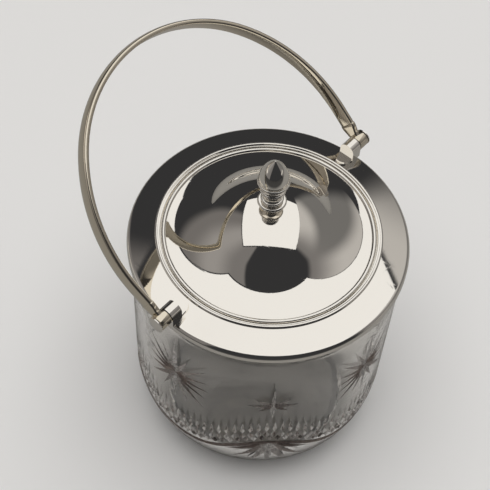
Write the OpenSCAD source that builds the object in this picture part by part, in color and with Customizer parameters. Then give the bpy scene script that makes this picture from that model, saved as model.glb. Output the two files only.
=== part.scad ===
// Cut-glass biscuit jar with a plated collar, a lift-off domed lid and a swing handle.
// The origin is the centre of the base, +Z is up and the handle's pivot line runs along X.
// All sizes are in millimetres.

/* [Glass jar] */
// Outer diameter of the glass body
glass_d = 132.6; // [110:0.1:134.6]
// Thickness of the glass wall
glass_wall = 5; // [3:0.5:7]
// Thickness of the glass floor
floor_t = 9; // [6:0.5:14]
// Diameter of the flat foot that the jar stands on
foot_d = 96; // [84:1:104]
// Height at which the straight wall starts to curve in to the foot
curve_h = 42; // [34:1:56]
// Height of the glass shoulder under the collar
shoulder_h = 134; // [110:1:170]
// Radius that rounds the shoulder
shoulder_r = 4; // [2:0.5:5]
// Height of the neck above the shoulder
neck_h = 4.2; // [3:0.1:4.6]
// Thickness of the glass neck
neck_wall = 4.2; // [3:0.1:5]

/* [Cut ornament] */
// Height of the large stars' middle below the glass shoulder
star_drop = 43; // [40:0.5:50]
// Length of a large star's upright ray
star_up = 33; // [26:0.5:35]
// Length of a large star's slanting rays
star_slant = 25; // [20:0.5:26]
// Length of a large star's level rays
star_level = 20; // [16:0.5:22]
// Radius of a large star's cut where it is widest
star_cut_r = 1.5; // [1:0.1:1.7]
// Height of the small stars' middle below the glass shoulder
small_drop = 42; // [38:0.5:48]
// Length of a small star's upright ray
small_up = 19; // [14:0.5:22]
// Length of a small star's other rays
small_ray = 11; // [8:0.5:12]
// Radius of a small star's cut where it is widest
small_cut_r = 1.1; // [0.8:0.1:1.3]
// Height of the swag where it hangs lowest, under the large stars
swag_low = 39; // [36:0.5:44]
// How much higher the swag is under the small stars
swag_rise = 16; // [10:0.5:17]
// Length of a notch of the swag
notch_l = 20; // [12:0.5:21]
// Radius of a notch where it is widest
notch_r = 1.4; // [1:0.1:1.6]
// Notches of the swag in an eighth of the way round
notches = 3; // [2:1:4]
// Length of a petal of the fans
fan_l = 28; // [20:0.5:30]
// Radius of a petal's cut where it is widest
fan_cut_r = 2; // [1.4:0.1:2.2]

/* [Collar] */
// Diameter over the turned-down lip
collar_d = 136; // [130:0.5:142]
// Radius of the lip's rounded top edge
lip_r = 2.5; // [2:0.1:3.5]
// Depth of the lip below the middle of that radius
lip_drop = 2.2; // [1.5:0.1:2.8]
// Slope of the flange, in degrees
flange_slope = 15; // [8:0.5:18]
// Thickness of the collar's sheet
sheet_t = 1; // [0.7:0.1:1.3]
// Height of the middle of the lip's radius above the glass shoulder
collar_lift = 3.1; // [2.9:0.1:4]
// Inner diameter of the ledge that the lid sits on
mouth_d = 100.8; // [96:0.1:102]
// Width of the ledge
ledge_w = 1.6; // [1.2:0.1:2]
// Thickness of the ledge
ledge_t = 1; // [0.7:0.1:1.4]
// Wall of the mouth tube around the ledge
mouth_wall = 1; // [0.8:0.1:1.2]
// Depth of the ledge below the top of the mouth tube
ledge_depth = 1.8; // [1.4:0.1:2.4]
// Length of the mouth tube
mouth_tube_l = 12; // [9:0.5:20]
// Radius of the bead wire round the mouth
rim_wire_r = 0.95; // [0.7:0.05:1.1]
// Thickness of the band that grips the neck
neck_band_t = 1; // [0.7:0.1:1.4]
// Thickness of the cement between the neck and the band
cement_t = 1.2; // [0.8:0.1:1.8]

/* [Lid] */
// Clearance between the lid and the collar
lid_clear = 0.35; // [0.25:0.05:0.5]
// Width of the lid's edge wire
edge_wire_w = 2.4; // [1.8:0.1:3]
// Height of the flat side of the edge wire
edge_wire_flat = 1; // [0.6:0.1:1.6]
// Rise of the dome from its edge to its top
dome_rise = 20.4; // [19.6:0.2:22]
// Radius at which the dome's round crown turns into its hollow skirt
crown_r = 28.5; // [26:0.5:30]
// Steepest slope of the dome, at that radius, in degrees
crown_slope = 41.5; // [38:0.5:43]
// Thickness of the dome's sheet
dome_t = 1; // [0.7:0.1:1.4]
// Depth of the locating ring below the lid's seat
bezel_depth = 7; // [4:0.5:10]
// Thickness of the locating ring
bezel_t = 0.9; // [0.7:0.1:1.2]

/* [Finial] */
// Radius of the neck that stands on the dome
post_r = 4.1; // [3.4:0.1:4.8]
// Height of the neck up to the base disc
post_h = 3.2; // [2.5:0.1:5]
// Radius of the base disc
base_disc_r = 6.9; // [6:0.1:8.5]
// Thickness of the base disc
base_disc_t = 1.8; // [1.4:0.1:2.6]
// Height of the spool between the base disc and the bud
spool_h = 9.4; // [8:0.2:12]
// Radius of the spool's waist
spool_waist_r = 4.3; // [3.8:0.1:4.8]
// Radius of the spool's lower ring
low_ring_r = 5.5; // [5:0.1:6.2]
// Radius of the spool's upper ring
high_ring_r = 6.1; // [5.5:0.1:6.8]
// Thickness of each ring of the spool
spool_ring_t = 1.5; // [1:0.1:2]
// Radius of the bud
bud_r = 7.3; // [6.4:0.1:9]
// Height of the cup under the bud's widest line
bud_cup_h = 4.2; // [3:0.1:6]
// Height of the bud from its widest line to its point
bud_point_h = 14.2; // [11:0.1:18]
// Radius of the threaded rod inside the finial
stud_r = 1.5; // [1.2:0.1:2]
// Length of the rod below the dome
stud_below = 5; // [4.2:0.1:7]
// Radius of the washer under the dome
washer_r = 5; // [4.5:0.1:7]
// Thickness of the washer
washer_t = 0.8; // [0.5:0.1:1.2]
// Width across the flats of the nut
nut_af = 5.5; // [5:0.1:7]
// Thickness of the nut
nut_t = 2.4; // [1.6:0.1:3]

/* [Handle] */
// How far each leg of the handle stands outside the collar's lip, at the pivot
leg_out = 3.7; // [2.7:0.1:8]
// Outward tilt of each leg, in degrees
leg_tilt = 4.35; // [0:0.05:8]
// Length of the straight leg from the pivot
leg_l = 18; // [13:0.5:30]
// Radius of the arch's haunch
haunch_r = 85.8; // [78:0.2:92]
// Direction at which the haunch turns into the crown, in degrees
haunch_end = 41.3; // [35:0.1:48]
// Width of the handle's strap
strap_w = 9; // [7:0.1:10]
// Thickness of the handle's strap
strap_t = 3; // [2.4:0.1:3.6]
// How far the strap's outer face is domed
strap_dome = 0.9; // [0.4:0.1:1.1]
// Rounding of the strap's edges
strap_edge_r = 0.8; // [0.5:0.1:1]
// Length of the cast arm from the pivot to its joint with the strap
arm_l = 10; // [8:0.5:12]
// How much the cast arm stands proud of the strap
arm_proud = 0.2; // [0.1:0.05:0.3]
// Angle that the resting handle leans from upright, in degrees
lean = 54; // [30:1:58]

/* [Pivots] */
// Height of the pivot line above the middle of the lip's radius
pivot_lift = 7.9; // [7.6:0.1:10]
// How far the lugs are soldered behind the jar's middle
lug_offset = 2.5; // [0:0.5:3]
// Radius of the knuckle and of the handle's boss
knuckle_r = 4.05; // [3.8:0.05:4.4]
// Length of the knuckle, and of the boss
knuckle_l = 6; // [5:0.1:6.4]
// Gap between the knuckle and the boss
seam_gap = 0.3; // [0.2:0.05:0.4]
// Radius of the pivot pin
pin_r = 1.6; // [1.3:0.05:1.7]
// Running clearance of the boss on the pin
pin_clear = 0.05; // [0.02:0.01:0.1]
// Thickness of the pin's domed head
head_t = 1.3; // [0.9:0.1:1.8]
// Thickness of the lug's foot on the flange
lug_foot_t = 1.3; // [1:0.1:1.6]
// Length of the foot inside the knuckle
lug_foot_l = 6.6; // [5:0.1:7]
// Width of the foot
lug_foot_w = 7.4; // [6.6:0.1:8]
// Radius of the peg that stops the handle
peg_r = 0.45; // [0.35:0.05:0.5]
// Length of the peg beyond the seam
peg_l = 1; // [0.6:0.1:1.5]
// Clearance round the peg
peg_clear = 0.3; // [0.2:0.05:0.3]

/* [Hidden] */
$fn = 96;

silver = [0.78, 0.77, 0.73];
steel = [0.62, 0.63, 0.64];

// Glass
glass_r = glass_d / 2;
foot_r = foot_d / 2;
// One arc joins the straight wall to the foot: it leaves the wall upright and ends on the foot
curve_r = (pow(curve_h, 2) + pow(glass_r - foot_r, 2)) / (2 * (glass_r - foot_r));
curve_x = glass_r - curve_r;
neck_top = shoulder_h + neck_h;

// Collar
collar_r = collar_d / 2;
lip_z = shoulder_h + collar_lift;
lip_x = collar_r - lip_r;
mouth_r = mouth_d / 2;
mouth_in = mouth_r + ledge_w;
mouth_out = mouth_in + mouth_wall;
// Where the rounded lip runs into the sloping flange
slope_x = lip_x + lip_r * sin(flange_slope);
slope_z = lip_z + lip_r * cos(flange_slope);
function flange_z(r) = slope_z + (slope_x - r) * tan(flange_slope);
sheet_drop = sheet_t / cos(flange_slope);
mouth_top = flange_z(mouth_out);
ledge_top = mouth_top - ledge_depth;
rim_wire_x = mouth_out + 0.6 * rim_wire_r;
neck_in = mouth_out + 0.5;
neck_out = neck_in + neck_wall;
band_in = neck_out + cement_t;
band_out = band_in + neck_band_t;

// Lid
wire_out = mouth_in - lid_clear;
wire_in = wire_out - edge_wire_w;
wire_mid_z = ledge_top + edge_wire_flat;
dome_edge_z = wire_mid_z + 0.3;
dome_top = dome_edge_z + dome_rise;
bezel_out = mouth_r - lid_clear;
bezel_in = bezel_out - bezel_t;
// The dome is two arcs: a round crown, then a skirt that flattens towards the edge
crown_R = crown_r / sin(crown_slope);
crown_z = dome_top - crown_R * (1 - cos(crown_slope));
// The skirt's chord runs from the crown's end to the dome's edge
chord_slope = atan((crown_z - dome_edge_z) / (wire_in - crown_r));
edge_slope = 2 * chord_slope - crown_slope;
skirt_R = (wire_in - crown_r) / (sin(crown_slope) - sin(edge_slope));
skirt_x = crown_r + skirt_R * sin(crown_slope);
skirt_z = crown_z + skirt_R * cos(crown_slope);

// Finial, stacked on the dome
post_foot = dome_top - crown_R * (1 - cos(asin(post_r / crown_R)));
post_top = dome_top + post_h;
disc_top = post_top + base_disc_t;
bud_foot = disc_top + spool_h;
bud_mid = bud_foot + bud_cup_h;
bud_tip = bud_mid + bud_point_h;
bud_arc_R = (pow(bud_r, 2) + pow(bud_point_h, 2)) / (2 * bud_r);
bud_turn = acos((bud_arc_R - bud_r) / bud_arc_R);
cup_foot_r = spool_waist_r + 0.8;
stud_top = bud_mid;
dome_under = dome_top - dome_t;

// Distance of each leg from the middle of the jar, at the pivot
leg_x = collar_d / 2 + leg_out;
// Handle arch, drawn upright in the plane of X and Z with the pivot line at z = 0
leg_end_x = leg_x + leg_l * sin(leg_tilt);
leg_end_z = leg_l * cos(leg_tilt);
haunch_x = leg_end_x - haunch_r * cos(leg_tilt);
haunch_z = leg_end_z + haunch_r * sin(leg_tilt);
// The crown's arc carries on from the haunch and is centred over the jar
crown_arch_r = haunch_r + haunch_x / cos(haunch_end);
crown_arch_z = haunch_z + (haunch_r - crown_arch_r) * sin(haunch_end);
strap_dome_r = (pow(strap_w / 2, 2) + pow(strap_dome, 2)) / (2 * strap_dome);
// The lengths of the arch run into each other and differ by a hair, so they make one solid
strap_hair = 0.04;
strap_lap = 0.4;

// Cut ornament: degrees round the wall for each mm along it, and where the rays start
wall_deg = 180 / (PI * glass_r);
star_gap = 2;
// The pointed ends of a cut run out of the glass, just clear of the wall
tip_out = 0.35;
// The petals cross the curve to the foot, so their line stands off the wall
fan_out = 0.8;

// Pivots
pivot_z = lip_z + pivot_lift;
boss_in = leg_x - knuckle_l / 2;
boss_out = boss_in + knuckle_l;
knuckle_out = boss_in - seam_gap;
knuckle_in = knuckle_out - knuckle_l;
pin_in = knuckle_in + 1.5;
head_in = boss_out + seam_gap;
head_r = knuckle_r + 0.1;
boss_bore_r = pin_r + pin_clear;
peg_ring_r = (boss_bore_r + knuckle_r) / 2;
groove_w = 2 * (peg_r + peg_clear);
// The groove lets the peg swing as far as the handle leans each way
groove_half = lean + asin((peg_r + 0.1) / peg_ring_r);
foot_in = knuckle_in - lug_foot_l;

eps = 0.01;
far = 400;

// ---------- outlines that are turned about Z ----------

// Everything inside the outer skin of the glass, from the table up
module glass_outside() {
  intersection() {
    translate([curve_x, curve_h]) circle(r = curve_r, $fn = 180);
    square([glass_r, curve_h]);
  }
  square([foot_r, curve_h]);
  translate([0, curve_h]) square([glass_r, shoulder_h - shoulder_r - curve_h]);
  translate([0, shoulder_h - shoulder_r]) square([glass_r - shoulder_r, shoulder_r]);
  intersection() {
    translate([glass_r - shoulder_r, shoulder_h - shoulder_r]) circle(r = shoulder_r);
    translate([0, shoulder_h - shoulder_r]) square([glass_r, shoulder_r]);
  }
  translate([0, shoulder_h - shoulder_r]) square([neck_out, shoulder_r + neck_h]);
}

// The hollow of the jar, up through its neck
module glass_inside() {
  inner_r = glass_r - glass_wall;
  roof_z = shoulder_h - glass_wall;
  intersection() {
    translate([curve_x, curve_h]) circle(r = curve_r - glass_wall, $fn = 180);
    translate([0, floor_t]) square([inner_r, curve_h - floor_t]);
  }
  translate([0, curve_h]) square([inner_r, roof_z - shoulder_r - curve_h]);
  translate([0, roof_z - shoulder_r]) square([inner_r - shoulder_r, shoulder_r]);
  intersection() {
    translate([inner_r - shoulder_r, roof_z - shoulder_r]) circle(r = shoulder_r);
    translate([0, roof_z - shoulder_r]) square([inner_r, shoulder_r]);
  }
  translate([0, roof_z - eps]) square([neck_in, far]);
}

// Everything under the top face of the sloping flange
module under_flange() {
  polygon([
    [0, 0], [slope_x + 1, 0], [slope_x + 1, flange_z(slope_x + 1)], [0, flange_z(0)]
  ]);
}

// Everything under the lower face of the sloping flange
module under_sheet() {
  translate([0, -sheet_drop]) under_flange();
}

// Points of an arc about a centre
function arc(x, z, r, from, to, n) = [
  for (i = [0:n]) let (a = from + (to - from) * i / n) [x + r * cos(a), z + r * sin(a)]
];

// The flange's sheet with its rounded edge and turned-down lip, as one section
module flange_section() {
  polygon(concat(
    [[mouth_out, flange_z(mouth_out)]],
    arc(lip_x, lip_z, lip_r, 90 - flange_slope, 0, 16),
    arc(collar_r - sheet_t / 2, lip_z - lip_drop, sheet_t / 2, 0, -180, 8),
    arc(lip_x, lip_z, lip_r - sheet_t, 0, 90 - flange_slope, 12),
    [[mouth_out, flange_z(mouth_out) - sheet_drop]]
  ));
}

// Everything under a dome whose sheet lies this far inside the outer skin
module under_dome(inset) {
  difference() {
    square([wire_in, dome_top + 1]);
    // Above the crown
    difference() {
      square([crown_r, dome_top + 1]);
      translate([0, dome_top - crown_R]) circle(r = crown_R - inset, $fn = 240);
      square([crown_r, dome_top - crown_R]);
    }
    // Above the skirt
    intersection() {
      translate([crown_r - inset * sin(crown_slope), 0]) square([far, far]);
      translate([skirt_x, skirt_z]) circle(r = skirt_R + inset, $fn = 360);
    }
  }
}

// The strap's section: flat inside, domed outside, with soft edges
module strap_section(w, t) {
  r = strap_edge_r;
  y = w / 2 - r;
  dome_x = t / 2 - strap_dome_r;
  edge_x = dome_x + sqrt(pow(strap_dome_r - r, 2) - pow(y, 2));
  turn = asin(y / (strap_dome_r - r));
  polygon(concat(
    arc(edge_x, -y, r, -90, -turn, 4),
    arc(dome_x, 0, strap_dome_r, -turn * 0.75, turn * 0.75, 6),
    arc(edge_x, y, r, turn, 90, 4),
    arc(r - t / 2, y, r, 90, 180, 4),
    arc(r - t / 2, -y, r, 180, 270, 4)
  ));
}

// ---------- placing ----------

// From the upright handle's plane to the resting handle on the jar
module lean_handle() {
  translate([0, lug_offset, pivot_z]) rotate([-lean, 0, 0]) children();
}

// side is 1 on the right and -1 on the left
module on_side(side) {
  if (side > 0) children();
  else mirror([1, 0, 0]) children();
}

module pivot_rod(x0, x1, r) {
  translate([x0, 0, 0]) rotate([0, 90, 0]) cylinder(r = r, h = x1 - x0);
}

// ---------- jar and collar ----------

// Outer radius of the glass at a height
function skin_r(z) = z >= curve_h ? glass_r : curve_x + sqrt(pow(curve_r, 2) - pow(curve_h - z, 2));

// A point this far outside the glass wall
function on_wall(turn, z, out) =
  [(skin_r(z) + out) * cos(turn), (skin_r(z) + out) * sin(turn), z];

// Height of the swag's lower edge
function swag_z(turn) = swag_low + swag_rise * pow(0.5 - 0.5 * cos(4 * turn), 1.5);

// Wheel cut: a slim double cone laid in the wall from a point in one direction along it
module wheel_cut(turn, z, way, start, reach, r, belly, out) {
  from = on_wall(turn + start * cos(way) * wall_deg, z + start * sin(way), out);
  to = on_wall(turn + reach * cos(way) * wall_deg, z + reach * sin(way), out);
  span = norm(to - from);
  translate(from) rotate([0, acos((to[2] - from[2]) / span), atan2(to[1] - from[1], to[0] - from[0])])
    rotate_extrude($fn = 24) polygon([[0, 0], [r, belly * span], [0, span]]);
}

// Large star of eight long rays
module large_star() {
  z = shoulder_h - star_drop;
  wheel_cut(0, z, 90, star_gap, star_up, star_cut_r, 0.25, tip_out);
  wheel_cut(0, z, -90, star_gap, star_slant, star_cut_r, 0.25, tip_out);
  for (way = [0, 180]) wheel_cut(0, z, way, star_gap, star_level, star_cut_r, 0.25, tip_out);
  for (way = [45, 135, 225, 315]) wheel_cut(0, z, way, star_gap, star_slant, star_cut_r, 0.25, tip_out);
}

module small_star() {
  z = shoulder_h - small_drop;
  wheel_cut(45, z, 90, star_gap, small_up, small_cut_r, 0.25, tip_out);
  for (way = [0, 180, 270]) wheel_cut(45, z, way, star_gap, small_ray, small_cut_r, 0.3, tip_out);
}

// Upright notches that hang in a swag from small star to small star
module swag() {
  step = 45 / notches;
  for (i = [0:2 * notches - 1]) {
    turn = (i + 0.5) * step;
    wheel_cut(turn, swag_z(turn), 90, 0, notch_l, notch_r, 0.3, tip_out);
  }
}

// Fan of petals that opens downwards from the swag under the small star
module fan() {
  z = swag_z(45);
  for (way = [212, 241, 270, 299, 328])
    wheel_cut(45, z, way, 2 * star_gap, fan_l, fan_cut_r, 0.35, fan_out);
}

module glass_jar() {
  color([0.72, 0.73, 0.72, 0.45]) difference() {
    rotate_extrude($fn = 180) difference() {
      glass_outside();
      glass_inside();
    }
    for (quarter = [0:90:270]) rotate([0, 0, quarter]) {
      large_star();
      small_star();
      swag();
      fan();
    }
  }
}

// Plaster that beds the collar on the neck
module cement_ring() {
  color([0.88, 0.85, 0.78]) rotate_extrude($fn = 180) intersection() {
    under_sheet();
    difference() {
      translate([mouth_out, shoulder_h]) square([band_in - mouth_out, far]);
      translate([0, shoulder_h - eps]) square([neck_out, neck_h + eps]);
    }
  }
}

module collar_flange() {
  color(silver) rotate_extrude($fn = 180) flange_section();
}

module collar_neck_band() {
  color(silver) rotate_extrude($fn = 180) intersection() {
    under_sheet();
    translate([band_in, shoulder_h]) square([neck_band_t, far]);
  }
}

// Tube that lines the mouth, with the ledge for the lid
module collar_mouth_tube() {
  color(silver) rotate_extrude($fn = 180) {
    translate([mouth_in, mouth_top - mouth_tube_l]) square([mouth_wall, mouth_tube_l]);
    translate([mouth_r, ledge_top - ledge_t]) square([ledge_w + eps, ledge_t]);
  }
}

module collar_rim_wire() {
  color(silver) rotate_extrude($fn = 180) difference() {
    translate([rim_wire_x, flange_z(rim_wire_x)]) circle(r = rim_wire_r, $fn = 40);
    under_flange();
    square([mouth_out, mouth_top]);
  }
}

// ---------- pivots ----------

module lug(side) {
  color(silver) on_side(side) difference() {
    union() {
      // Foot that follows the slope of the flange
      intersection() {
        translate([0, lug_offset, 0]) linear_extrude(far) {
          translate([foot_in + lug_foot_w / 2, -lug_foot_w / 2])
            square([knuckle_out - foot_in - lug_foot_w / 2, lug_foot_w]);
          translate([foot_in + lug_foot_w / 2, 0]) circle(d = lug_foot_w, $fn = 64);
        }
        rotate_extrude($fn = 180) difference() {
          translate([0, lug_foot_t]) under_flange();
          under_flange();
        }
      }
      // Upright with a round top
      translate([0, lug_offset, 0]) difference() {
        union() {
          translate([0, 0, pivot_z]) pivot_rod(knuckle_in, knuckle_out, knuckle_r);
          translate([knuckle_in, -knuckle_r, lip_z]) cube([knuckle_l, 2 * knuckle_r, pivot_lift]);
        }
        translate([0, 0, pivot_z]) pivot_rod(pin_in, far, pin_r);
        // Groove for the stop peg
        translate([knuckle_out - peg_l - peg_clear, 0, pivot_z]) rotate([0, 90, 0])
          rotate([0, 0, -groove_half]) rotate_extrude(angle = 2 * groove_half)
            translate([peg_ring_r - groove_w / 2, 0]) square([groove_w, far]);
      }
    }
    rotate_extrude($fn = 180) under_flange();
    // Inside of the rounded lip, where the upright stands beyond the slope
    difference() {
      cylinder(r = collar_r + 1, h = slope_z);
      cylinder(r = slope_x, h = slope_z);
    }
  }
}

module pivot_pin(side) {
  head_ball_r = (pow(head_r, 2) + pow(head_t * 0.6, 2)) / (2 * head_t * 0.6);
  color(steel) on_side(side) translate([0, lug_offset, pivot_z]) rotate([0, 90, 0])
    rotate_extrude() {
      translate([0, pin_in]) square([pin_r, head_in - pin_in + 0.2]);
      // Low domed head
      intersection() {
        translate([0, head_in + head_t - head_ball_r]) circle(r = head_ball_r, $fn = 240);
        translate([0, head_in]) square([head_r, head_t + 1]);
      }
    }
}

// ---------- lid ----------

module lid_dome() {
  color(silver) rotate_extrude($fn = 180) difference() {
    intersection() {
      under_dome(0);
      translate([stud_r, dome_edge_z - dome_t]) square([wire_in - stud_r, far]);
    }
    under_dome(dome_t);
  }
}

module lid_edge_wire() {
  color(silver) rotate_extrude($fn = 180) {
    translate([wire_in, ledge_top]) square([edge_wire_w, edge_wire_flat]);
    intersection() {
      translate([wire_in + edge_wire_w / 2, wire_mid_z]) circle(d = edge_wire_w, $fn = 48);
      translate([wire_in, wire_mid_z]) square([edge_wire_w, edge_wire_w]);
    }
  }
}

module lid_bezel() {
  color(silver) rotate_extrude($fn = 180)
    translate([bezel_in, ledge_top - bezel_depth]) square([bezel_t, bezel_depth]);
}

// ---------- finial ----------

module finial_base() {
  color(silver) rotate_extrude($fn = 96) difference() {
    union() {
      square([post_r, post_top]);
      translate([0, post_top]) square([base_disc_r - base_disc_t / 2, base_disc_t]);
      translate([base_disc_r - base_disc_t / 2, post_top + base_disc_t / 2])
        circle(d = base_disc_t, $fn = 32);
    }
    translate([0, dome_top - crown_R]) circle(r = crown_R, $fn = 240);
    square([post_r + 1, dome_top - crown_R]);
    square([stud_r, far]);
  }
}

module finial_spool() {
  cove_r = (spool_h - 2 * spool_ring_t - 1.6) / 2;
  color(silver) rotate_extrude($fn = 96) difference() {
    union() {
      translate([0, disc_top]) square([spool_waist_r, spool_h]);
      translate([0, disc_top]) square([low_ring_r - 0.6, 0.8]);
      translate([low_ring_r - spool_ring_t / 2, disc_top + 0.8 + spool_ring_t / 2])
        circle(d = spool_ring_t, $fn = 32);
      translate([0, disc_top + 0.8]) square([low_ring_r - spool_ring_t / 2, spool_ring_t]);
      translate([high_ring_r - spool_ring_t / 2, bud_foot - 0.8 - spool_ring_t / 2])
        circle(d = spool_ring_t, $fn = 32);
      translate([0, bud_foot - 0.8 - spool_ring_t])
        square([high_ring_r - spool_ring_t / 2, spool_ring_t]);
      translate([0, bud_foot - 0.8]) square([cup_foot_r, 0.8]);
      // Cove between the rings
      difference() {
        translate([0, disc_top + 0.8 + spool_ring_t])
          square([low_ring_r, 2 * cove_r]);
        translate([spool_waist_r + cove_r * 0.8, disc_top + 0.8 + spool_ring_t + cove_r])
          circle(r = cove_r, $fn = 48);
      }
    }
    square([stud_r, far]);
  }
}

module finial_bud() {
  cup_R = (pow(bud_r - cup_foot_r, 2) + pow(bud_cup_h, 2)) / (2 * (bud_r - cup_foot_r));
  color(silver) rotate_extrude($fn = 96) difference() {
    union() {
      // Pointed upper part
      polygon(concat(
        [[0, bud_mid]],
        arc(bud_r - bud_arc_R, bud_mid, bud_arc_R, 0, bud_turn * 0.94, 15),
        [[0, bud_tip]]
      ));
      // Cup below it
      intersection() {
        translate([bud_r - cup_R, bud_mid]) circle(r = cup_R, $fn = 96);
        translate([0, bud_foot]) square([bud_r + 1, bud_cup_h]);
      }
      // Bead at the widest line
      translate([bud_r - 0.3, bud_mid]) circle(r = 0.6, $fn = 32);
    }
    square([stud_r, stud_top]);
  }
}

module finial_stud() {
  color(steel) translate([0, 0, dome_under - stud_below])
    cylinder(r = stud_r, h = stud_top - dome_under + stud_below);
}

module finial_washer() {
  color(steel) rotate_extrude() difference() {
    translate([stud_r, dome_under - washer_t - 0.3]) square([washer_r - stud_r, far]);
    translate([0, dome_under - 0.3 - eps]) square([far, far]);
  }
}

module finial_nut() {
  color(steel) translate([0, 0, dome_under - 0.3 - washer_t - nut_t]) difference() {
    cylinder(d = nut_af / cos(30), h = nut_t, $fn = 6);
    translate([0, 0, -1]) cylinder(r = stud_r, h = nut_t + 2);
  }
}

// ---------- handle ----------

// The straight leg on the right, from one distance along it to another
module strap_leg(from, to, w, t) {
  translate([leg_x, 0, 0]) rotate([0, leg_tilt, 0]) translate([0, 0, from])
    linear_extrude(to - from) strap_section(w, t);
}

// An arc of the arch, in the plane of X and Z
module strap_arc(x, z, r, from, to, w, t) {
  translate([x, 0, z]) rotate([90, 0, 0]) rotate([0, 0, from])
    rotate_extrude(angle = to - from, $fn = 180) translate([r, 0]) strap_section(w, t);
}

module handle_strap() {
  color(silver) lean_handle() {
    for (side = [1, -1]) on_side(side) {
      strap_leg(arm_l, leg_l + strap_lap, strap_w - strap_hair, strap_t - strap_hair);
      strap_arc(haunch_x, haunch_z, haunch_r, -leg_tilt, haunch_end, strap_w, strap_t);
    }
    strap_arc(0, crown_arch_z, crown_arch_r, haunch_end - strap_lap, 180 - haunch_end + strap_lap,
      strap_w - strap_hair, strap_t - strap_hair);
  }
}

module handle_boss(side) {
  color(silver) lean_handle() on_side(side) {
    difference() {
      union() {
        pivot_rod(boss_in, boss_out, knuckle_r);
        strap_leg(0, arm_l, strap_w + 2 * arm_proud, strap_t + 2 * arm_proud);
      }
      pivot_rod(0, far, boss_bore_r);
    }
    // Stop peg, opposite the arm
    translate([0, 0, -peg_ring_r]) pivot_rod(boss_in - seam_gap - peg_l, boss_in + 1, peg_r);
  }
}

glass_jar();
cement_ring();
collar_flange();
collar_neck_band();
collar_mouth_tube();
collar_rim_wire();
lug(-1);  // left_lug
lug(1);  // right_lug
pivot_pin(-1);  // left_pivot_pin
pivot_pin(1);  // right_pivot_pin
lid_dome();
lid_edge_wire();
lid_bezel();
finial_base();
finial_spool();
finial_bud();
finial_stud();
finial_washer();
finial_nut();
handle_strap();
handle_boss(-1);  // left_handle_boss
handle_boss(1);  // right_handle_boss
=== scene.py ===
"""Cut-glass biscuit jar with a silver-plated collar, lid and swing handle."""

import math
from collections import namedtuple

import bmesh
import bpy
from bpy.props import FloatProperty, FloatVectorProperty, IntProperty, PointerProperty
from bpy.types import Operator, Panel, PropertyGroup
from mathutils import Matrix, Vector


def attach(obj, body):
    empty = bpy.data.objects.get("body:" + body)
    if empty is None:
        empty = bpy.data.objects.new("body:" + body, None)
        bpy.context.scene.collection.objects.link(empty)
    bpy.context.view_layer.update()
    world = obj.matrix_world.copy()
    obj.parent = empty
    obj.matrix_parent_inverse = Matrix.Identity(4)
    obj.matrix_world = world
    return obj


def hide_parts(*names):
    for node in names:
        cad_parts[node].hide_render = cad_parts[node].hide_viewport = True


bl_info = {
    "name": "Cut-glass biscuit jar",
    "version": (1, 0, 0),
    "blender": (4, 5, 0),
    "location": "View3D > Sidebar > Biscuit jar",
    "description": "Builds the looks of a cut-glass biscuit jar round its fixed frame",
    "category": "Object",
}

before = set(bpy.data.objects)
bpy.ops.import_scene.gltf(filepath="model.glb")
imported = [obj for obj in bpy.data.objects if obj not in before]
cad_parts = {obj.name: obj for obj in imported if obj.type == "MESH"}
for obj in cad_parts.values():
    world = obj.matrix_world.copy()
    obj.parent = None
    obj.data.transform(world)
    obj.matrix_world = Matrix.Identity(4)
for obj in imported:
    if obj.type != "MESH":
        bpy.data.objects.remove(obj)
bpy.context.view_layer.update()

MM = 0.001


# ---------- settings ----------


def length(name, description, mm):
    """A size that is typed in here in millimetres and kept in metres."""
    return FloatProperty(
        name=name, description=description, default=mm * MM, min=0.0, unit="LENGTH", precision=4
    )


def angle(name, description, degrees):
    """An angle that is typed in here in degrees and kept in radians."""
    return FloatProperty(
        name=name, description=description, default=math.radians(degrees), unit="ROTATION"
    )


def colour(name, description, rgb):
    return FloatVectorProperty(
        name=name, description=description, default=rgb, size=3, min=0.0, max=1.0, subtype="COLOR"
    )


class GlassSettings(PropertyGroup):
    radius: length("Glass radius", "Outer radius of the straight glass wall", 66.3)
    wall: length("Wall", "Thickness of the glass wall", 5.0)
    floor: length("Floor", "Thickness of the glass floor", 9.0)
    foot_radius: length("Foot radius", "Radius of the flat foot", 48.0)
    curve_height: length("Curve height", "Where the wall starts to curve in to the foot", 42.0)
    shoulder_height: length("Shoulder height", "Top of the glass shoulder", 134.0)
    shoulder_round: length("Shoulder rounding", "Radius that rounds the shoulder", 4.0)
    neck_inner: length("Neck bore", "Inner radius of the neck", 53.5)
    neck_outer: length("Neck outside", "Outer radius of the neck", 57.7)
    neck_top: length("Neck top", "Height of the neck's top", 138.2)
    large_star_height: length("Large star height", "Height of the large stars' middle", 92.0)
    small_star_height: length("Small star height", "Height of the small stars' middle", 90.0)
    cut_width: length("Cut width", "Half the width of a large star's ray", 1.7)
    cut_depth: length("Cut depth", "Depth of a large star's ray", 1.5)
    notches: IntProperty(
        name="Notches", description="Notches of the swag in an eighth of the way round",
        default=13, min=6, max=20,
    )
    tint: colour("Glass tint", "Grey tint of the lead glass", (0.90, 0.885, 0.86))
    ground: colour(
        "Ground facet", "Colour of a facet that shows the wheel's grain", (0.93, 0.92, 0.90)
    )
    # The deep facet colour and the cut tint are painted shade, for carved facets that tilt up or
    # down and for the swag's dark notches
    ground_painted_shade: colour(
        "Deep facet", "Colour of a ground facet that turns from the light", (0.33, 0.265, 0.235)
    )
    cut_painted_shade: colour("Cut tint", "Tint of the glass in the depth of a cut", (0.55, 0.46, 0.42))


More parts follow.
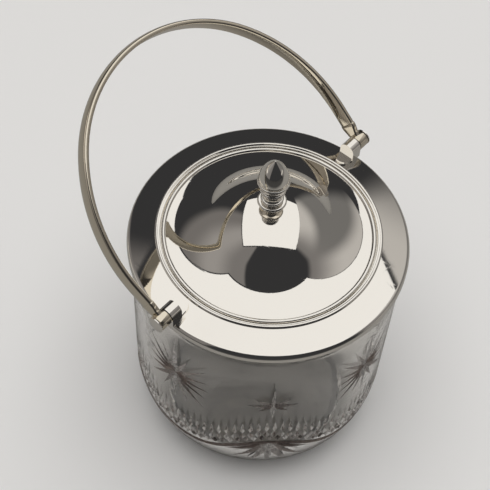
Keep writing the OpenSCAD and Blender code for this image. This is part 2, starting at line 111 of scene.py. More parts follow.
class PlateSettings(PropertyGroup):
    silver: colour("Silver", "Colour of the bright plate", (0.93, 0.90, 0.845))
    handled: colour(
        "Handled silver", "Colour of the plate that hands have dulled", (0.82, 0.75, 0.62)
    )
    tarnish: colour(
        "Tarnish", "Colour of the plate where a cloth doesn't reach", (0.42, 0.37, 0.30)
    )
    steel: colour("Steel", "Colour of the rod, washer and nut", (0.50, 0.50, 0.49))
    # The plaster's colour is made dark as painted shade under the collar's lip
    plaster: colour("Plaster", "Colour of the old plaster under the collar", (0.26, 0.24, 0.21))


class HandleSettings(PropertyGroup):
    leg: length("Leg", "Distance of each leg from the middle at the pivot", 71.7)
    tilt: angle("Tilt", "Outward tilt of each leg", 4.35)
    straight: length("Straight leg", "Length of the straight leg from the pivot", 18.0)
    haunch: length("Haunch", "Radius of the arch's haunch", 85.8)
    haunch_end: angle("Haunch end", "Direction where the haunch turns into the crown", 41.3)
    width: length("Strap width", "Width of the strap", 9.0)
    thickness: length("Strap thickness", "Thickness of the strap", 3.0)
    lean: angle("Lean", "Lean of the resting handle from upright", 54.0)
    pivot_height: length("Pivot height", "Height of the pivot line", 145.0)
    pivot_back: length("Pivot offset", "How far the pivot line is behind the middle", 2.5)
    boss: length("Boss radius", "Radius of the boss round the pin", 4.05)
    boss_length: length("Boss length", "Length of the boss along the pin", 6.0)
    arm: length("Arm", "Length of the cast arm from the pivot", 10.0)
    arm_taper: FloatProperty(
        name="Arm taper", description="Width of the arm at the boss, as a share of its full width",
        default=0.6, min=0.4, max=1.0,
    )


class StageSettings(PropertyGroup):
    lens: FloatProperty(name="Lens", description="Focal length in mm", default=88.16)
    floor: colour("Floor", "Colour of the floor", (0.80, 0.80, 0.80))
    backdrop: colour("Backdrop", "Colour behind the floor's far edge", (0.55, 0.55, 0.54))
    floor_in_metal: colour(
        "Floor in metal", "Colour of the floor as the silver shows it", (0.30, 0.295, 0.285)
    )
    ceiling: FloatProperty(
        name="Ceiling", description="Power of the soft panel overhead, in watts", default=49.0
    )
    fill: FloatProperty(
        name="Fill", default=110.0,
        description="Power of the fill light that metal doesn't show, in watts",
    )
    room: FloatProperty(name="Room", description="Strength of the room's own light", default=1.0)


def glass():
    return bpy.context.scene.jar_glass


def plate():
    return bpy.context.scene.jar_plate


def handle():
    return bpy.context.scene.jar_handle


def stage():
    return bpy.context.scene.jar_stage


# ---------- node expressions ----------


class Sum:
    """A number in a shader, so that a + b * 2 adds the Math nodes for it."""

    def __init__(self, tree, socket):
        self.tree = tree
        self.socket = socket

    def math(self, operation, *values):
        return self.tree.node("ShaderNodeMath", {"operation": operation}, list(values))

    def __add__(self, other):
        return self.math("ADD", self, other)

    def __radd__(self, other):
        return self.math("ADD", other, self)

    def __sub__(self, other):
        return self.math("SUBTRACT", self, other)

    def __rsub__(self, other):
        return self.math("SUBTRACT", other, self)

    def __mul__(self, other):
        return self.math("MULTIPLY", self, other)

    def __rmul__(self, other):
        return self.math("MULTIPLY", other, self)

    def larger(self, other):
        return self.math("MAXIMUM", self, other)

    def clamp(self):
        return self.tree.node("ShaderNodeClamp", {}, {"Value": self})

    def above(self, low, high):
        """0 below low, 1 above high and smooth between."""
        return self.tree.node(
            "ShaderNodeMapRange", {"interpolation_type": "SMOOTHSTEP"},
            {"Value": self, "From Min": low, "From Max": high},
        )

    def between(self, start, full, fade, end):
        """1 from full to fade, 0 outside start and end, and smooth between."""
        return self.above(start, full) * (1.0 - self.above(fade, end))


class NodeTree:
    """The nodes of a material or of the world."""

    def __init__(self, tree):
        self.nodes = tree.nodes
        self.links = tree.links

    def feed(self, node, inputs):
        """Sets or links a node's inputs, given as a list or by name."""
        pairs = enumerate(inputs) if isinstance(inputs, list) else inputs.items()
        for key, value in pairs:
            socket = node.inputs[key]
            if isinstance(value, Sum):
                self.links.new(value.socket, socket)
            elif isinstance(value, (tuple, list)) and socket.type == "RGBA" and len(value) == 3:
                socket.default_value = (*value, 1.0)
            else:
                socket.default_value = value

    def node(self, kind, settings, inputs, output=0):
        """One node: its settings are set first, then its inputs are set or linked."""
        made = self.nodes.new(kind)
        for key, value in settings.items():
            setattr(made, key, value)
        self.feed(made, inputs)
        return Sum(self, made.outputs[output])

    def mix(self, factor, first, second):
        """The first colour at factor 0 and the second at factor 1."""
        made = self.nodes.new("ShaderNodeMix")
        made.data_type = "RGBA"
        self.feed(made, {0: factor, 6: first, 7: second})
        return Sum(self, made.outputs[2])

    def parts(self, vector):
        """The X, Y and Z of a vector."""
        made = self.nodes.new("ShaderNodeSeparateXYZ")
        self.feed(made, {"Vector": vector})
        return [Sum(self, made.outputs[i]) for i in range(3)]


class Finish(NodeTree):
    """A material and its nodes."""

    def __init__(self, name, **sockets):
        self.material = bpy.data.materials.new(name)
        self.material.use_nodes = True
        super().__init__(self.material.node_tree)
        self.shader = self.nodes["Principled BSDF"]
        self.feed(self.shader, {key.replace("_", " "): value for key, value in sockets.items()})

    def place(self, scale=(1, 1, 1)):
        """Object coordinates, stretched."""
        spot = self.node("ShaderNodeTexCoord", {}, {}, "Object")
        return self.node("ShaderNodeMapping", {}, {"Vector": spot, "Scale": scale})

    def noise(self, scale, detail, stretch=(1, 1, 1)):
        return self.node(
            "ShaderNodeTexNoise", {},
            {"Vector": self.place(stretch), "Scale": scale, "Detail": detail},
        )

    def attribute(self, name):
        return self.node("ShaderNodeAttribute", {"attribute_name": name}, {}, "Fac")

    def bump(self, height, distance):
        relief = self.node("ShaderNodeBump", {}, {"Height": height, "Distance": distance})
        self.feed(self.shader, {"Normal": relief})


def silver_finish(name, metal, wear=1.0):
    """Silver plate: faint cloudy polish, fine cloth scratches and some tarnish."""
    look = Finish(name, Metallic=1.0, Specular_IOR_Level=0.5)
    cloud = look.noise(38.0, detail=4.0)
    fine = look.noise(900.0, detail=2.0, stretch=(1.0, 1.0, 0.35))
    scratch = look.noise(420.0, detail=2.0, stretch=(1.0, 0.06, 1.0)).above(0.62, 0.74)
    cross = look.noise(360.0, detail=2.0, stretch=(0.05, 1.0, 1.0)).above(0.64, 0.76)
    dull = look.noise(9.0, detail=3.0).above(0.45, 0.75)
    tarnished = (dull * 0.10 * wear + cloud * 0.04).clamp()
    polish = 0.022 + 0.05 * dull * wear + 0.02 * cloud * wear
    look.feed(look.shader, {
        "Base Color": look.mix(tarnished, metal, tuple(plate().tarnish)),
        "Roughness": polish + 0.04 * scratch * wear + 0.03 * cross * wear,
    })
    look.bump(cloud * 0.5 + fine * 0.10 + scratch * 0.2 + cross * 0.16, 0.000012 * wear)
    return look.material


def glass_finish(name):
    """Grey lead glass: facets that tilt up or down get painted shade, the swag's notches painted
    glints and shade, and frosted facets keep the wheel's grain.
    """
    look = Finish(name, Transmission_Weight=1.0, IOR=1.53, Metallic=0.0)
    ripple = look.noise(60.0, detail=2.0)
    haze = look.noise(500.0, detail=3.0)
    # Painted shade: the glass and the ground facets are darkened where a carved facet tilts up or
    # down, and on the swag's dark notches
    deep = look.attribute("painted_shade_facet")
    # How frosted a carved facet is, with painted glints on the swag's notches
    frost_and_glint = look.attribute("frost_and_glint_facet")
    clear = look.mix(haze * 0.3, tuple(glass().tint), tuple(c * 0.93 for c in glass().tint))
    look.feed(look.shader, {
        "Base Color": look.mix(deep, clear, tuple(glass().cut_painted_shade)),
        "Roughness": 0.004 + 0.012 * haze + 0.05 * deep,
    })
    wave = look.noise(11.0, detail=1.0, stretch=(1.0, 1.0, 0.5))
    look.bump(ripple * 0.15 + wave, 0.0005)
    ground = look.node("ShaderNodeBsdfPrincipled", {}, {
        "Base Color": look.mix(deep, tuple(glass().ground), tuple(glass().ground_painted_shade)),
        "Roughness": 0.24, "Metallic": 0.5, "IOR": 1.53,
    })
    grain = (frost_and_glint * (0.15 + 1.7 * haze)).clamp()
    both = look.node(
        "ShaderNodeMixShader", {}, [grain, Sum(look, look.shader.outputs[0]), ground]
    )
    look.feed(look.nodes["Material Output"], {"Surface": both})
    return look.material


def plaster_finish(name):
    """Plaster, made dark as painted shade under the collar's lip, with a fine grain and darker
    patches.
    """
    look = Finish(name, Roughness=0.85)
    patch = (look.noise(60.0, detail=3.0) * 0.5).clamp()
    look.feed(look.shader, {
        "Base Color": look.mix(patch, tuple(plate().plaster), (0.17, 0.15, 0.125)),
    })
    look.bump(look.noise(700.0, detail=4.0), 0.0002)
    return look.material


def steel_finish(name):
    """Steel with the lathe's fine rings and a few dull spots."""
    look = Finish(name, Metallic=1.0)
    turned = look.noise(900.0, detail=2.0, stretch=(0.2, 0.2, 3.0))
    spot = look.noise(120.0, detail=3.0).above(0.5, 0.8)
    look.feed(look.shader, {
        "Base Color": look.mix(spot * 0.4, tuple(plate().steel), (0.30, 0.27, 0.24)),
        "Roughness": 0.26 + 0.2 * spot + 0.1 * turned,
    })
    look.bump(turned, 0.00003)
    return look.material


def material(name, maker, *values):
    """The material of this name, made by its maker the first time."""
    return bpy.data.materials.get(name) or maker(name, *values)


def silver():
    return material("bright_silver", silver_finish, tuple(plate().silver))


def handled_silver():
    return material("handled_silver", silver_finish, tuple(plate().handled), 1.8)


# ---------- modelling ----------


def clear_selection():
    if bpy.context.mode != "OBJECT":
        bpy.ops.object.mode_set(mode="OBJECT")
    bpy.ops.object.select_all(action="DESELECT")


def take_up(*pieces):
    """Selects these pieces alone and makes the last of them the active one."""
    clear_selection()
    for piece in pieces:
        piece.select_set(True)
    bpy.context.view_layer.objects.active = pieces[-1]


def place_object(name, data):
    """A new object in the scene for a mesh, a lamp or a camera."""
    made = bpy.data.objects.new(name, data)
    bpy.context.collection.objects.link(made)
    return made


def start_point(name, spot):
    """A mesh of one point, ready in edit mode to be drawn on from there."""
    clear_selection()
    bpy.ops.mesh.primitive_plane_add(size=0.001, location=(0, 0, 0))
    piece = bpy.context.object
    piece.name = name
    piece.data.name = name
    bpy.ops.object.mode_set(mode="EDIT")
    bpy.ops.mesh.select_mode(type="VERT")
    bpy.ops.mesh.select_all(action="SELECT")
    bpy.ops.mesh.merge(type="CENTER")
    bpy.ops.transform.translate(value=spot)
    return piece


def extrude(step):
    bpy.ops.mesh.extrude_region_move(TRANSFORM_OT_translate={"value": step})


def draw_on(points, start):
    """Extrudes the chosen point through the points in turn."""
    last = Vector(start)
    for point in points:
        step = Vector(point) - last
        bpy.ops.mesh.extrude_vertices_move(TRANSFORM_OT_translate={"value": step})
        last = Vector(point)


def choose(piece, test, kind="VERT"):
    """Selects what passes the test: a point or an edge by its middle, or a face."""
    bpy.ops.mesh.select_mode(type=kind)
    bpy.ops.mesh.select_all(action="DESELECT")
    net = bmesh.from_edit_mesh(piece.data)
    if kind == "VERT":
        for point in net.verts:
            point.select = test(point.co)
    elif kind == "EDGE":
        for edge in net.edges:
            edge.select = test((edge.verts[0].co + edge.verts[1].co) / 2)
    else:
        for face in net.faces:
            face.select = test(face)
    net.select_flush_mode()
    bmesh.update_edit_mesh(piece.data)


def draw_loop(name, points):
    """A closed loop of edges through the points, left selected in edit mode."""
    piece = start_point(name, points[0])
    draw_on(points[1:], points[0])
    ends = (Vector(points[0]), Vector(points[-1]))
    choose(piece, lambda co: min((co - end).length for end in ends) < 1e-6)
    bpy.ops.mesh.edge_face_add()
    bpy.ops.mesh.select_all(action="SELECT")
    return piece


def tidy(piece, sharp):
    """Merges doubles, turns the faces outwards and shades all but the sharp edges smoothly."""
    bpy.ops.mesh.select_mode(type="VERT")
    bpy.ops.mesh.select_all(action="SELECT")
    bpy.ops.mesh.remove_doubles(threshold=2e-6)
    bpy.ops.mesh.normals_make_consistent(inside=False)
    bpy.ops.object.mode_set(mode="OBJECT")
    bpy.ops.object.shade_smooth_by_angle(angle=math.radians(sharp))


def turn_profile(name, outline, steps):
    """Draws a closed outline of (radius, height) pairs in mm and spins it round Z."""
    piece = draw_loop(name, [(r * MM, 0.0, z * MM) for r, z in outline])
    bpy.ops.mesh.spin(steps=steps, angle=math.tau, center=(0, 0, 0), axis=(0, 0, 1))
    tidy(piece, sharp=32.0)
    return piece


def grow_ring(piece, outline):
    """Extrudes the chosen ring through (radius, height) pairs in mm and closes it."""
    ring = [v.co for v in bmesh.from_edit_mesh(piece.data).verts if v.select]
    radius = max(math.hypot(co.x, co.y) for co in ring) / MM
    height = max(co.z for co in ring) / MM
    for r, z in outline:
        extrude((0, 0, (z - height) * MM))
        scale = r / radius
        bpy.ops.transform.resize(value=(scale, scale, 1.0), center_override=(0, 0, 0))
        radius, height = r, z
    bpy.ops.mesh.merge(type="CENTER")


def arc(x, z, r, start, end, n):
    """Points of an arc, with the angles in degrees."""
    turns = [math.radians(start + (end - start) * i / n) for i in range(n + 1)]
    return [(x + r * math.cos(a), z + r * math.sin(a)) for a in turns]


def rounded(corners, radii, n=4):
    """Rounds the corners of a closed outline, each by its own radius."""
    out = []
    for i, (spot, r) in enumerate(zip(corners, radii)):
        if r <= 0:
            out.append(spot)
            continue
        here = Vector((*spot, 0))
        before = Vector((*corners[i - 1], 0)) - here
        after = Vector((*corners[(i + 1) % len(corners)], 0)) - here
        half = before.angle(after) / 2
        back = min(r / math.tan(half), before.length * 0.49, after.length * 0.49)
        size = back * math.tan(half)
        inward = (before.normalized() + after.normalized()).normalized()
        middle = here + inward * (size / math.sin(half))
        first = here + before.normalized() * back - middle
        last = here + after.normalized() * back - middle
        for k in range(n + 1):
            spoke = first.lerp(last, k / n).normalized() * size
            out.append(tuple((middle + spoke)[:2]))
    return out


def finish_piece(piece, body, look, slot, *nodes):
    """Gives a piece its material and body, and hides the solids it stands for. The slot is not
    used.
    """
    piece.data.materials.clear()
    piece.data.materials.append(look)
    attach(piece, body)
    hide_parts(*nodes)


# ---------- sizes that several pieces share, in mm ----------

# The collar: the middle and radius of its rounded lip, its sheet, and its slope in degrees
LIP_X, LIP_Z, LIP_R = 65.5, 137.1, 2.5
SHEET = 1.0
SLOPE = 15.0
SLOPE_X = LIP_X + LIP_R * math.sin(math.radians(SLOPE))
SLOPE_Z = LIP_Z + LIP_R * math.cos(math.radians(SLOPE))
MOUTH_R, MOUTH_IN, MOUTH_OUT = 50.4, 52.0, 53.0


def flange_z(r):
    """Height of the flange's top at a radius."""
    return SLOPE_Z + (SLOPE_X - r) * math.tan(math.radians(SLOPE))


# The lid: its ledge, the wire round its edge, and the dome with its steeper crown
MOUTH_TOP = flange_z(MOUTH_OUT)
LEDGE_TOP = MOUTH_TOP - 1.8
LID_GAP = 0.35
EDGE_WIRE_R = 1.2
WIRE_OUT = MOUTH_IN - LID_GAP
WIRE_IN = WIRE_OUT - 2 * EDGE_WIRE_R
WIRE_MID = LEDGE_TOP + 1.0
DOME_EDGE, DOME_TALL = WIRE_MID + 0.3, 20.4
DOME_TOP = DOME_EDGE + DOME_TALL
CROWN_R, CROWN_SLOPE = 28.5, 41.5
CROWN_BALL = CROWN_R / math.sin(math.radians(CROWN_SLOPE))
ROD_R = 1.5

# Steps of a spin, for the widest pieces, the lid's and the finial's
WIDE_STEPS, LID_STEPS, FINIAL_STEPS = 192, 160, 64

# The photograph's view is turned by this much from the handle's pivot line
VIEW_TURN = math.radians(51.78)
VIEW_RIGHT = Vector((math.cos(VIEW_TURN), -math.sin(VIEW_TURN)))
VIEW_AWAY = Vector((math.sin(VIEW_TURN), math.cos(VIEW_TURN)))


# ---------- the cuts in the glass, in mm and degrees ----------

# A slab stands for an eighth of the wall. Eight copies go round, every other one mirrored,
# each divided into columns and rows so that it bends
QUARTERS = 4
SLAB_THICK = 8.0
SLAB_COLUMNS, SLAB_ROWS = 24, 40

# A wheel cut runs from x, z by its reach in the direction turn, and by back the other way.
# It is wide to either side of its middle line, and deep at its deepest
Cut = namedtuple("Cut", "x z turn reach back wide deep")

# How far a cutter stands out of the face that it cuts
PROUD = 0.6

# The reach of each ray of a large star, the first one upwards
LARGE_STAR_RAYS = (33, 21, 26, 20, 20, 20, 25, 21, 24, 21, 25, 20, 20, 20, 26, 21)
LARGE_STAR_BACK = 2.2

# Each ray's or petal's direction, reach and half width
SMALL_STAR_RAYS = (
    (90, 19.0, 0.9), (270, 12.0, 1.5), (0, 13.0, 2.3), (180, 13.0, 2.3),
    (35, 10.5, 1.9), (145, 10.5, 1.9), (215, 9.0, 1.7), (325, 9.0, 1.7),
)
SMALL_STAR_BACK, SMALL_STAR_DEEP = 1.2, 1.2
FAN_PETALS = (
    (270, 31.0, 2.5), (249, 31.0, 2.5), (227, 28.0, 2.3), (205, 25.0, 2.0),
    (291, 31.0, 2.5), (313, 28.0, 2.3), (335, 25.0, 2.0),
)
FAN_BACK, FAN_DEEP, FAN_DROP = 1.0, 1.9, 1.0

# The line under the swag: its lowest height, its rise and how sharp its peak is
SWAG_LOW, SWAG_RISE, SWAG_PEAK = 34.5, 16.0, 1.5

# The swag's rows, notches and two of beads: the place along a pitch, the height over the
# line, the reach upwards and downwards, the half width and the depth
SWAG_ROWS = (
    (0.5, 14.0, 9.5, 1.6, 1.15, 1.1),
    (0.5, 9.4, 3.4, 3.4, 1.5, 1.9),
    (1.0, 5.6, 3.0, 3.0, 1.6, 1.8),
)

# Facets between these distances over the line are the swag's own. Their painted glints and shade
# go in turn by the golden ratio, which never repeats
SWAG_FACETS = (2.6, 25.0)
GOLDEN_RATIO = 0.618034

# The mitre groove on that line: half its width, its depth, its steps across the slab, and
# those that it goes on past either side
GROOVE_HALF, GROOVE_DEEP, GROOVE_STEPS, GROOVE_PAST = 1.9, 1.6, 24, 2


class Wall:
    """The glass wall's sizes in mm, and the way from the flat slab to the wall."""

    def __init__(self):
        g = glass()
        self.radius, self.curve_height = g.radius / MM, g.curve_height / MM
        inset = self.radius - g.foot_radius / MM
        self.curve = (self.curve_height ** 2 + inset ** 2) / (2 * inset)
        self.curve_middle = self.radius - self.curve
        self.bend = self.curve * math.asin(self.curve_height / self.curve)
        self.top = g.shoulder_height / MM - g.shoulder_round / MM
        self.tall = self.bend + self.top - self.curve_height
        self.across = math.tau * self.radius / (2 * QUARTERS)

    def along(self, z):
        """Distance up the wall from the foot, for a height on the wall."""
        if z >= self.curve_height:
            return z - self.curve_height + self.bend
        return self.bend - self.curve * math.asin((self.curve_height - z) / self.curve)

    def swag(self, x):
        """Height of the line under the swag, lowest under the large stars."""
        share = min(max(x / self.across, 0.0), 1.0)
        rise = 0.5 - 0.5 * math.cos(math.pi * share)
        return SWAG_LOW + SWAG_RISE * rise ** SWAG_PEAK

    def wrap(self, co, mirrored, quarter):
        """A point of the flat slab, bent to its place on the jar's wall, in metres."""
        turn = co.x / self.radius
        turn = (-turn if mirrored else turn) + quarter * math.tau / QUARTERS
        if co.z >= self.bend:
            r, z = self.radius, self.curve_height + co.z - self.bend
            out, up = 1.0, 0.0
        else:
            tilt = (self.bend - co.z) / self.curve
            out, up = math.cos(tilt), -math.sin(tilt)
            r = self.curve_middle + self.curve * out
            z = self.curve_height + self.curve * up
        r, z = r - out * co.y, z - up * co.y
        return Vector((r * math.cos(turn), r * math.sin(turn), z)) * MM


def cuts_of_an_eighth(wall):
    """The wheel cuts between a large star, at x 0, and a small star, at the far side."""
    g = glass()
    wide, deep = g.cut_width / MM, g.cut_depth / MM
    star = wall.along(g.large_star_height / MM)
    for i, reach in enumerate(LARGE_STAR_RAYS):
        turn = 90 + i * 360 / len(LARGE_STAR_RAYS)
        yield Cut(0.0, star, turn, reach, LARGE_STAR_BACK, wide, deep)
    star = wall.along(g.small_star_height / MM)
    for turn, reach, wide in SMALL_STAR_RAYS:
        yield Cut(wall.across, star, turn, reach, SMALL_STAR_BACK, wide, SMALL_STAR_DEEP)
    for i in range(-1, g.notches + 2):
        for place, height, reach, back, wide, deep in SWAG_ROWS:
            x = (i + place) * wall.across / g.notches
            yield Cut(x, wall.along(wall.swag(x) + height), 90, reach, back, wide, deep)
    # The fan opens downwards from the swag under the small star
    fan = wall.along(wall.swag(wall.across) - FAN_DROP)
    for turn, reach, wide in FAN_PETALS:
        yield Cut(wall.across, fan, turn, reach, FAN_BACK, wide, FAN_DEEP)


def add_spindle(net, cut):
    """One wheel cut: a spindle with pointed ends, laid in the slab's face."""
    turn = math.radians(cut.turn)
    way = Vector((math.cos(turn), 0, math.sin(turn)))
    side = Vector((-way.z, 0, way.x))
    spot = Vector((cut.x, 0, cut.z)) + way * (cut.reach - cut.back) / 2
    half = (cut.reach + cut.back) / 2
    # A ray is widest near its star, and an even cut in the middle
    toward_start = 0.45 if cut.reach > cut.back * 1.5 else 0.0
    belly = spot - way * half * toward_start
    tips = [net.verts.new(p) for p in (spot - way * half, spot + way * half)]
    ring = [net.verts.new(p) for p in (
        belly + side * cut.wide, belly + Vector((0, cut.deep, 0)),
        belly - side * cut.wide, belly - Vector((0, PROUD, 0)),
    )]
    for a, b in zip(ring, ring[1:] + ring[:1]):
        net.faces.new((a, b, tips[0]))
        net.faces.new((b, a, tips[1]))


def add_groove(net, wall):
    """The mitre groove that runs all along under the swag, and past the slab's sides."""
    rings = []
    for i in range(-GROOVE_PAST, GROOVE_STEPS + GROOVE_PAST + 1):
        x = i * wall.across / GROOVE_STEPS
        z = wall.along(wall.swag(x))
        rings.append([net.verts.new(p) for p in (
            (x, 0, z + GROOVE_HALF), (x, GROOVE_DEEP, z),
            (x, 0, z - GROOVE_HALF), (x, -PROUD, z),
        )])
    for first, second in zip(rings, rings[1:]):
        for k in range(4):
            after = (k + 1) % 4
            net.faces.new((first[k], first[after], second[after], second[k]))
    net.faces.new(rings[0])
    net.faces.new(rings[-1])


def cutters(wall):
    """All the cuts of the slab as one object."""
    net = bmesh.new()
    for cut in cuts_of_an_eighth(wall):
        add_spindle(net, cut)
    add_groove(net, wall)
    bmesh.ops.recalc_face_normals(net, faces=net.faces)
    wheel = bpy.data.meshes.new("wheel_cuts")
    net.to_mesh(wheel)
    net.free()
    return place_object("wheel_cuts", wheel)


def carved_slab(name, wall):
    """A flat slab, x round the wall and z up it, with the cuts taken out of its face."""
    clear_selection()
    middle = (wall.across / 2, SLAB_THICK / 2, wall.tall / 2)
    bpy.ops.mesh.primitive_cube_add(size=1.0, location=middle)
    slab = bpy.context.object
    slab.name = name
    bpy.ops.object.mode_set(mode="EDIT")
    bpy.ops.mesh.select_all(action="SELECT")
    bpy.ops.transform.resize(value=(wall.across, SLAB_THICK, wall.tall))
    bpy.ops.object.mode_set(mode="OBJECT")
    bpy.ops.object.transform_apply(location=True, rotation=True, scale=True)

    wheel_cuts = cutters(wall)
    carve = slab.modifiers.new("carve", "BOOLEAN")
    carve.operation = "DIFFERENCE"
    carve.solver = "EXACT"
    carve.use_self = True
    carve.object = wheel_cuts
    take_up(slab)
    bpy.ops.object.modifier_apply(modifier="carve")
    bpy.data.objects.remove(wheel_cuts)
    return slab


def keep_carved_face(slab, wall):
    """Deletes all but the carved face of the slab and divides it, so that it can bend."""
    near = 0.0001

    def is_back_or_end(face):
        xs = [v.co.x for v in face.verts]
        zs = [v.co.z for v in face.verts]
        return (
            face.calc_center_median().y > SLAB_THICK - 0.1
            or max(abs(x) for x in xs) < near
            or max(abs(x - wall.across) for x in xs) < near
            or max(zs) < near
            or min(zs) > wall.tall - near
        )

    bpy.ops.object.mode_set(mode="EDIT")
    choose(slab, is_back_or_end, "FACE")
    bpy.ops.mesh.delete(type="FACE")
    for i in range(1, SLAB_COLUMNS):
        bpy.ops.mesh.select_all(action="SELECT")
        spot = (wall.across * i / SLAB_COLUMNS, 0, 0)
        bpy.ops.mesh.bisect(plane_co=spot, plane_no=(1, 0, 0))
    for i in range(1, SLAB_ROWS):
        bpy.ops.mesh.select_all(action="SELECT")
        spot = (0, 0, wall.tall * i / SLAB_ROWS)
        bpy.ops.mesh.bisect(plane_co=spot, plane_no=(0, 0, 1))
    bpy.ops.mesh.select_all(action="SELECT")
    bpy.ops.mesh.remove_doubles(threshold=near)
    bpy.ops.object.mode_set(mode="OBJECT")


def facet_look(face, wall):
    """How much painted shade a carved facet gets and how frosted it is; on the swag the frosting
    is a painted glint.
    """
    over = face.center.z - wall.along(wall.swag(face.center.x))
    if SWAG_FACETS[0] < over < SWAG_FACETS[1]:
        # Painted glints and shade: each notch of the swag is made brighter or darker than the
        # next, in turn by the golden ratio
        cell = round(face.center.x * glass().notches / wall.across) * 7
        cell += 3 * (face.normal.x > 0) + 2 * int(over / 4.0)
        glint = cell * GOLDEN_RATIO % 1.0
        return 0.8 * (1.0 - glint), 0.3 + 0.9 * glint
    # Painted shade: a facet that tilts up or down is made darker
    tilt = abs(face.normal.z)
    return min(1.0, 0.15 + 1.3 * tilt), 0.62 - 0.1 * tilt


def bend_round(slab, wall):
    """Bends copies of the slab round the jar and marks each facet's painted shade, frosting and
    painted glint.
    """
    flat = slab.data
    whole = bmesh.new()
    painted_shade_facet = whole.faces.layers.float.new("painted_shade_facet")
    frost_and_glint_facet = whole.faces.layers.float.new("frost_and_glint_facet")
    for quarter in range(QUARTERS):
        for mirrored in (False, True):
            spots = [whole.verts.new(wall.wrap(v.co, mirrored, quarter)) for v in flat.vertices]
            for face in flat.polygons:
                corners = [spots[i] for i in face.vertices]
                made = whole.faces.new(corners if mirrored else corners[::-1])
                if face.center.y > 0.02:
                    made[painted_shade_facet], made[frost_and_glint_facet] = facet_look(face, wall)
    bmesh.ops.remove_doubles(whole, verts=whole.verts, dist=2e-6)
    whole.to_mesh(flat)
    whole.free()


def close_shell(jar, wall):
    """Grows the shoulder, neck and hollow from the wall's top, and the foot from its bottom."""
    g = glass()
    shoulder, rounding = g.shoulder_height / MM, g.shoulder_round / MM
    neck_out, neck_in, neck_top = g.neck_outer / MM, g.neck_inner / MM, g.neck_top / MM
    thick, ground = g.wall / MM, g.floor / MM
    inner, roof = wall.radius - thick, shoulder - thick
    fillet, chamfer, under, hollow_round = 0.6, 0.8, 1.0, 4.0

    hollow = arc(wall.radius - rounding, wall.top, rounding, 0, 90, 8)[1:]
    hollow += [(neck_out + fillet, shoulder), (neck_out, shoulder + fillet)]
    hollow += [(neck_out, neck_top - chamfer), (neck_out - chamfer, neck_top)]
    hollow += [(neck_in + chamfer, neck_top), (neck_in, neck_top - chamfer)]
    hollow += [(neck_in, roof + under), (neck_in + under, roof)]
    hollow += arc(inner - hollow_round, roof - hollow_round, hollow_round, 90, 0, 6)
    hollow += [(inner, z) for z in (110.0, 90.0, 70.0, 55.0, wall.curve_height)]

    # From the hollow's straight wall a bowl runs down to the flat floor
    bowl = wall.curve - thick
    stop = math.degrees(math.asin((wall.curve_height - ground) / bowl))
    hollow += arc(wall.curve_middle, wall.curve_height, bowl, 0, -stop, 14)[1:]
    edge = hollow.pop()[0]
    hollow += [(edge - 0.4, ground + 0.25), (edge - 1.4, ground)]
    hollow += [(30.0, ground), (12.0, ground), (2.0, ground)]

    take_up(jar)
    bpy.ops.object.mode_set(mode="EDIT")
    choose(jar, lambda co: co.z > (wall.top - 0.01) * MM)
    grow_ring(jar, hollow)
    choose(jar, lambda co: co.z < 1e-6)
    rim, sunk = g.foot_radius / MM - 3.0, 0.6
    grow_ring(jar, [(rim, 0.0), (rim - 2.0, 0.5), (20.0, sunk), (2.0, sunk)])


# ---------- the pieces ----------


class JARLOOK_OT_glass(Operator):
    """Cuts the stars, the swag of notches and the fans into the glass jar"""

    bl_idname = "jarlook.glass"
    bl_label = "Cut glass jar"

    def execute(self, context):
        wall = Wall()
        jar = carved_slab("cut_glass_jar", wall)
        keep_carved_face(jar, wall)
        bend_round(jar, wall)
        close_shell(jar, wall)
        tidy(jar, sharp=20.0)
        look = material("wheel_cut_glass", glass_finish)
        finish_piece(jar, "jar", look, "cut_glass", "glass_jar")
        return {"FINISHED"}


class JARLOOK_OT_collar(Operator):
    """Turns the collar: flange, mouth tube and rim wire"""

    bl_idname = "jarlook.collar"
    bl_label = "Collar"

    def execute(self, context):
        lip_drop = 1.5
        outline = [(MOUTH_OUT, MOUTH_TOP)]
        outline += arc(LIP_X, LIP_Z, LIP_R, 90 - SLOPE, 0, 14)
        outline += arc(LIP_X + LIP_R - SHEET / 2, LIP_Z - lip_drop, SHEET / 2, 0, -180, 8)
        outline += arc(LIP_X, LIP_Z, LIP_R - SHEET, 0, 90 - SLOPE, 8)
        outline += [(MOUTH_OUT, MOUTH_TOP - SHEET / math.cos(math.radians(SLOPE)))]
        flange = turn_profile("collar_sheet", outline, WIDE_STEPS)
        finish_piece(flange, "jar", silver(), "silver_plate", "collar_flange")

        bead_r = 0.95
        bead_x = MOUTH_OUT + 0.6 * bead_r
        bead = arc(bead_x, flange_z(bead_x), bead_r, -SLOPE, 180 - SLOPE, 12)
        bead = [(max(r, MOUTH_OUT), z) for r, z in bead] + [(MOUTH_OUT, MOUTH_TOP)]
        wire = turn_profile("rim_bead", bead, WIDE_STEPS)
        finish_piece(wire, "jar", silver(), "silver_plate", "collar_rim_wire")

        tube_tall = 12.0
        low, under = MOUTH_TOP - tube_tall, LEDGE_TOP - SHEET
        tube = rounded([
            (MOUTH_IN, MOUTH_TOP), (MOUTH_OUT, MOUTH_TOP), (MOUTH_OUT, low), (MOUTH_IN, low),
            (MOUTH_IN, under), (MOUTH_R, under), (MOUTH_R, LEDGE_TOP), (MOUTH_IN, LEDGE_TOP),
        ], [0.35, 0, 0.2, 0.2, 0.1, 0.25, 0.25, 0.1])
        lining = turn_profile("mouth_lining", tube, WIDE_STEPS)
        finish_piece(lining, "jar", silver(), "silver_plate", "collar_mouth_tube")
        return {"FINISHED"}


